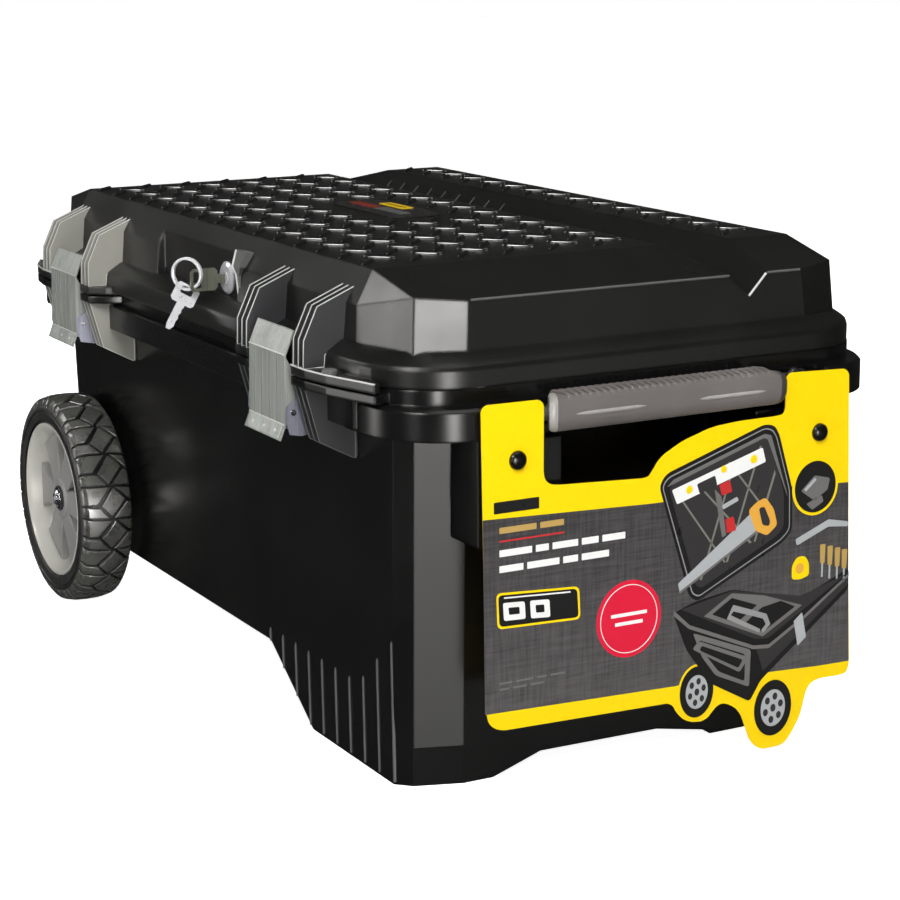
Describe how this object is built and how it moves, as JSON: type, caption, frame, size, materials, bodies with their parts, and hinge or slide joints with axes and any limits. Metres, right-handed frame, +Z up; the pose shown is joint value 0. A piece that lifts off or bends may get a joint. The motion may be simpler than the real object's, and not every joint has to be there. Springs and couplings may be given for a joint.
{
  "type": "wheeled tool chest",
  "caption": "Wheeled carpenter's tool chest with a hinged studded lid, over-centre latches, keyed lock, sliding tote tray and a telescoping pull handle.",
  "frame": {"origin": "centre of the bounding box's footprint, on the ground", "axes": "+X to the pull-handle end, along the chest's length; -Y to the latch and lock side; +Z up"},
  "size_m": [0.91, 0.5453, 0.4296],
  "materials": {
    "black_plastic": "moulded black plastic, lightly textured, satin",
    "grip_grey": "grey-brown moulded grip, satin",
    "tray_plastic": "dark grey plastic, fine texture",
    "seal_rubber": "soft black rubber",
    "tyre_rubber": "black moulded rubber",
    "hub_silver": "silver-grey painted plastic",
    "latch_steel": "brushed, with lengthwise lines",
    "bracket_zinc": "zinc-plated, faint violet tint",
    "bright_steel": "bright plated steel",
    "lock_chrome": "polished",
    "key_steel": "bright nickel-plated",
    "tube_chrome": "polished",
    "card_print": "printed and varnished, yellow and dark grey",
    "badge_dark": "smooth dark plate, blank"
  },
  "bodies": {
    "chest": {"tub": "black_plastic", "grab_tube": "black_plastic", "axle": "bright_steel", "axle_cap_front": "bright_steel", "axle_cap_rear": "bright_steel", "latch_bracket_left": "bracket_zinc", "latch_bracket_right": "bracket_zinc", "latch_pin_left": "bright_steel", "latch_pin_right": "bright_steel", "latch_rivet_left_a": "bright_steel", "latch_rivet_left_b": "bright_steel", "latch_rivet_right_a": "bright_steel", "latch_rivet_right_b": "bright_steel", "hinge_pin": "bright_steel", "handle_bush_front": "tray_plastic", "handle_bush_rear": "tray_plastic", "strike_plate": "bright_steel"},
    "lid": {"lid": "black_plastic", "lid_seal": "seal_rubber", "badge_plate": "badge_dark", "lock_housing": "lock_chrome", "lock_nut": "bright_steel"},
    "lock": {"lock_plug": "bright_steel", "key": "key_steel", "lock_cam": "bright_steel", "key_ring": "bright_steel"},
    "spare_key": {"spare_key": "key_steel"},
    "latch_left": {"latch_lever_left": "latch_steel"},
    "latch_right": {"latch_lever_right": "latch_steel"},
    "wheel_front": {"tyre_front": "tyre_rubber", "hub_front": "hub_silver"},
    "wheel_rear": {"tyre_rear": "tyre_rubber", "hub_rear": "hub_silver"},
    "pull_handle": {"handle_tube": "tube_chrome", "handle_grip": "grip_grey", "tube_plug_front": "tray_plastic", "tube_plug_rear": "tray_plastic", "label_card": "card_print", "card_clip_front": "tray_plastic", "card_clip_rear": "tray_plastic", "card_peg_front": "black_plastic", "card_peg_rear": "black_plastic"},
    "tray": {"tray": "tray_plastic", "tray_handle": "tray_plastic"}
  },
  "joints": [
    {"name": "lid_hinge", "type": "hinge", "parent": "chest", "child": "lid", "pos_m": [0, 0.247, 0.335], "axis": [-1, 0, 0], "range_deg": [0, 100]},
    {"name": "key_turn", "type": "hinge", "parent": "lid", "child": "lock", "pos_m": [0.0542, -0.218, 0.3856], "axis": [0, 1, 0], "range_deg": [0, 90]},
    {"name": "spare_key_swing", "type": "hinge", "parent": "lock", "child": "spare_key", "pos_m": [0.0464, -0.2519, 0.3763], "axis": [-1, 0, 0], "range_deg": [-15, 60]},
    {"name": "latch_right_hinge", "type": "hinge", "parent": "chest", "child": "latch_right", "pos_m": [0.241, -0.257, 0.3065], "axis": [1, 0, 0], "range_deg": [0, 100]},
    {"name": "latch_left_hinge", "type": "hinge", "parent": "chest", "child": "latch_left", "pos_m": [-0.257, -0.257, 0.3065], "axis": [1, 0, 0], "range_deg": [0, 100]},
    {"name": "wheel_front_spin", "type": "hinge", "parent": "chest", "child": "wheel_front", "pos_m": [-0.3, -0.2455, 0.109], "axis": [0, 1, 0], "continuous": true},
    {"name": "wheel_rear_spin", "type": "hinge", "parent": "chest", "child": "wheel_rear", "pos_m": [-0.3, 0.2455, 0.109], "axis": [0, 1, 0], "continuous": true},
    {"name": "pull_handle_slide", "type": "slide", "parent": "chest", "child": "pull_handle", "axis": [1, 0, 0], "range_m": [0, 0.33]},
    {"name": "tray_slide", "type": "slide", "parent": "chest", "child": "tray", "axis": [1, 0, 0], "range_m": [0, 0.32]}
  ]
}
